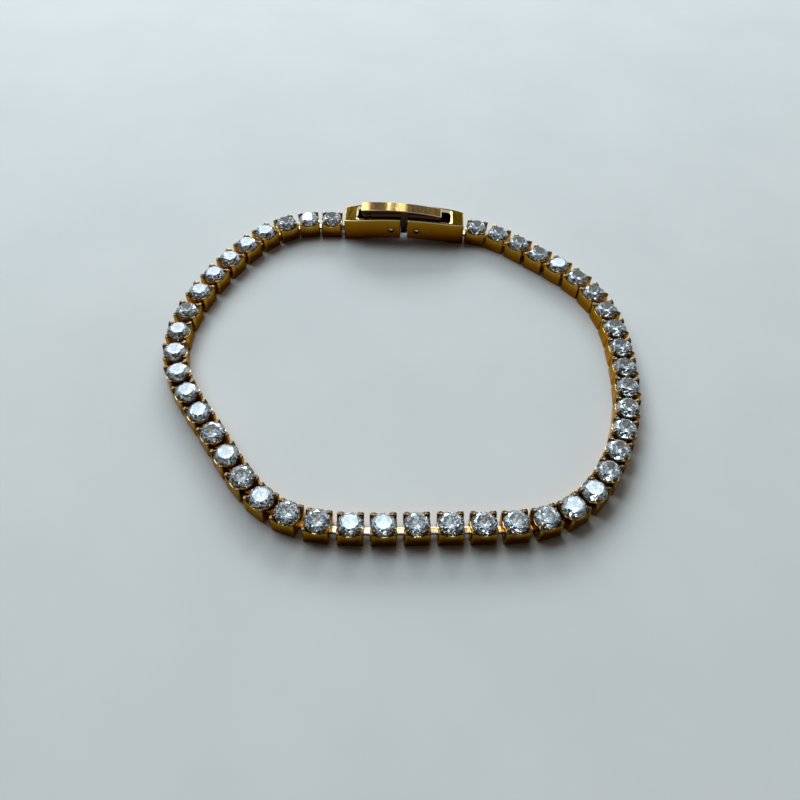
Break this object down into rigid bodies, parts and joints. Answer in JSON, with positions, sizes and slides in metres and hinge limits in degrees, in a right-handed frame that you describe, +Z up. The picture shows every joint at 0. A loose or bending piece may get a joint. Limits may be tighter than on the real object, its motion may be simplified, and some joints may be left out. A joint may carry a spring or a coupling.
{
  "type": "tennis bracelet",
  "caption": "Loop of square claw settings with round clear stones, linked tongue into window and closed by an arched butterfly clasp.",
  "frame": {"origin": "under the middle of the loop's box, on the surface that it lies on", "axes": "+Z up, away from the surface; +X along the loop's longer way across; +Y towards the clasp"},
  "size_m": [0.0622, 0.0562, 0.0051],
  "materials": {
    "polished_gold": "polished yellow gold plating, darker in the recesses",
    "brushed_gold": "gold plating, finely brushed across on top and polished at the sides",
    "inner_gold": "unpolished gold plating on the clasp's inner levers",
    "clear_stone": "clear colourless cut stone, polished facets"
  },
  "bodies": {
    "root": {"link_01": "polished_gold", "link_02": "polished_gold", "link_03": "polished_gold", "link_04": "polished_gold", "link_05": "polished_gold", "link_06": "polished_gold", "link_07": "polished_gold", "link_08": "polished_gold", "link_09": "polished_gold", "link_10": "polished_gold", "link_11": "polished_gold", "link_12": "polished_gold", "link_13": "polished_gold", "link_14": "polished_gold", "link_15": "polished_gold", "link_16": "polished_gold", "link_17": "polished_gold", "link_18": "polished_gold", "link_19": "polished_gold", "link_20": "polished_gold", "link_21": "polished_gold", "link_22": "polished_gold", "link_23": "polished_gold", "link_24": "polished_gold", "link_25": "polished_gold", "link_26": "polished_gold", "link_27": "polished_gold", "link_28": "polished_gold", "link_29": "polished_gold", "link_30": "polished_gold", "link_31": "polished_gold", "link_32": "polished_gold", "link_33": "polished_gold", "link_34": "polished_gold", "link_35": "polished_gold", "link_36": "polished_gold", "link_37": "polished_gold", "link_38": "polished_gold", "link_39": "polished_gold", "link_40": "polished_gold", "link_41": "polished_gold", "link_42": "polished_gold", "link_43": "polished_gold", "link_44": "polished_gold", "link_45": "polished_gold", "clasp_cover_left": "brushed_gold", "clasp_cover_right": "brushed_gold", "clasp_bridge": "brushed_gold", "clasp_leaf_left": "inner_gold", "clasp_leaf_right": "inner_gold", "clasp_rivet_left": "polished_gold", "clasp_rivet_right": "polished_gold", "bridge_pin_left": "polished_gold", "bridge_pin_right": "polished_gold"}
  },
  "joints": []
}
